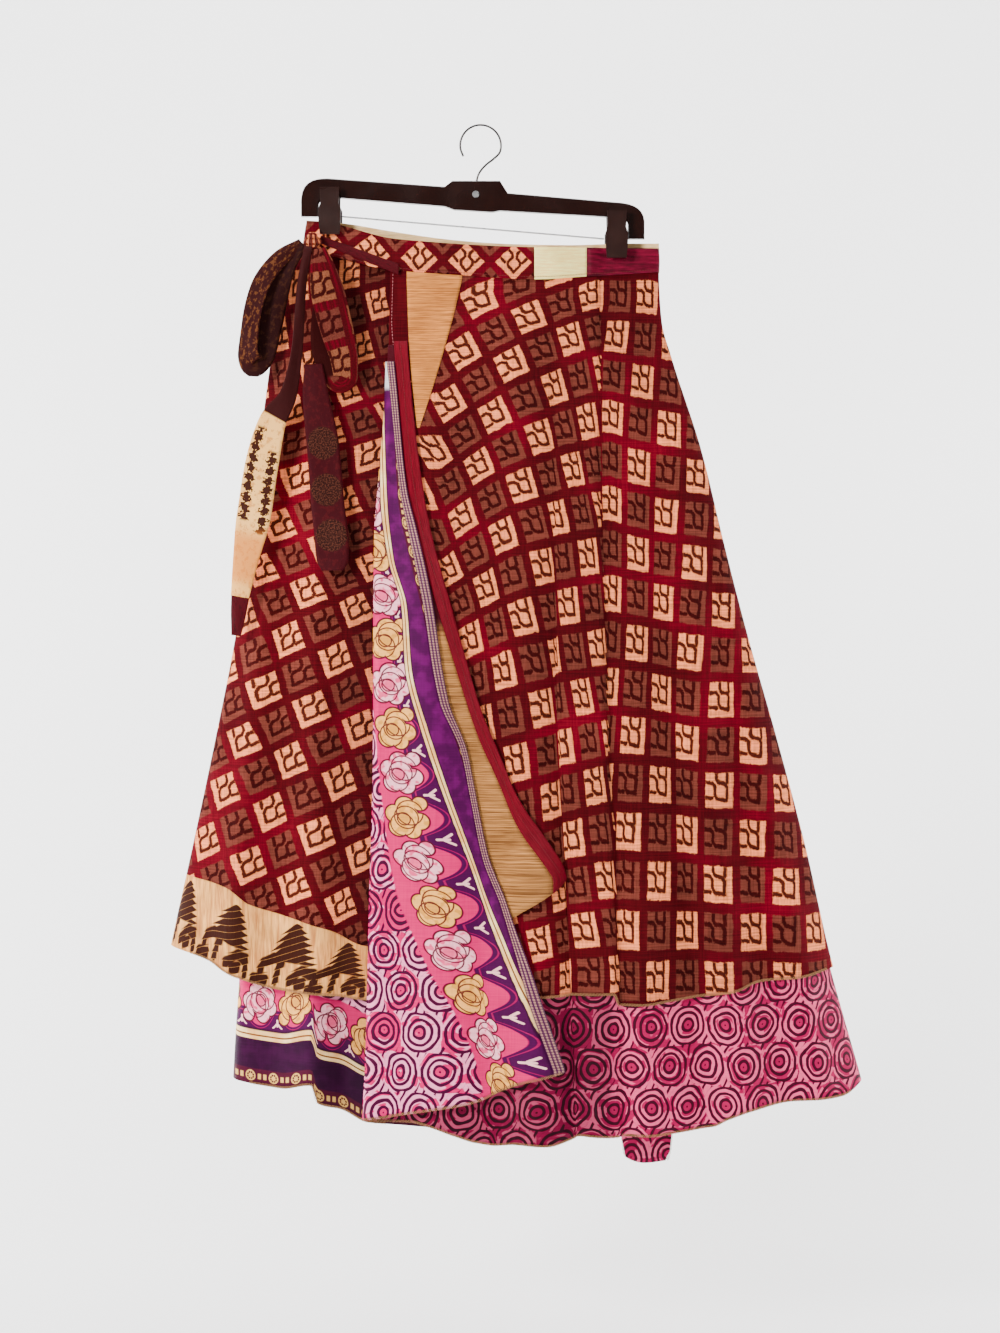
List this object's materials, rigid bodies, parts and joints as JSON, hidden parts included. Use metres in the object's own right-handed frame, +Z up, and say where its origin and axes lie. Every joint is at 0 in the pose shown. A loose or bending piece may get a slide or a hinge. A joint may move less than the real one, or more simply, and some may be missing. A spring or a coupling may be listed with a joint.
{
  "type": "wrap skirt on a clip hanger",
  "caption": "Two-layer patchwork wrap skirt with tie bow and turned-back front edge, held flat at the waist by a black plastic clip hanger with a wire hook.",
  "frame": {"origin": "the inside top of the hanger's hook, where it rests on a rail", "axes": "+Z up, +X to the right seen from the front, the front of the skirt faces -Y"},
  "size_m": [0.721, 0.169, 1.1002],
  "materials": {
    "block_weave": "matte woven cloth, maroon with cream and brown blocks",
    "tree_border": "slubbed cream cloth with brown trees",
    "cream_slub": "slubbed cream cloth",
    "red_binding": "stitched red binding",
    "pink_print": "printed light silk",
    "zari_lace": "woven metallic lace",
    "wine_plain": "plain wine silk",
    "cream_lining": "plain cream cloth",
    "tie_cloth": "dark printed cloth",
    "tie_cream": "cream cloth with leaf edges",
    "hanger_plastic": "smooth black plastic",
    "clip_plastic": "satin black plastic",
    "hook_steel": "dark wire",
    "wire_steel": "drawn wire"
  },
  "bodies": {
    "root": {"outer_under": "block_weave", "outer_front": "block_weave", "outer_back": "block_weave", "outer_hem_border": "tree_border", "outer_turned": "cream_slub", "cream_gore": "cream_slub", "waistband_cream": "cream_slub", "outer_edge_binding": "red_binding", "inner_under": "pink_print", "inner_front": "pink_print", "inner_back": "pink_print", "inner_turned": "pink_print", "turned_trim": "zari_lace", "waistband_front": "block_weave", "waistband_under": "block_weave", "waistband_plain": "wine_plain", "waistband_back": "cream_lining", "tie_wrap": "tie_cloth", "tie_knot": "tie_cloth", "bow_loop_left": "tie_cloth", "bow_loop_right": "tie_cloth", "tie_tail_front": "tie_cloth", "tie_tail_side": "tie_cream", "hanger_bar": "hanger_plastic", "hanger_hook": "hook_steel", "hanger_wire": "wire_steel", "hook_rivet": "wire_steel", "clip_left_jaw_front": "clip_plastic", "clip_left_jaw_back": "clip_plastic", "clip_left_pivot": "clip_plastic", "clip_right_jaw_front": "clip_plastic", "clip_right_jaw_back": "clip_plastic", "clip_right_pivot": "clip_plastic"}
  },
  "joints": []
}
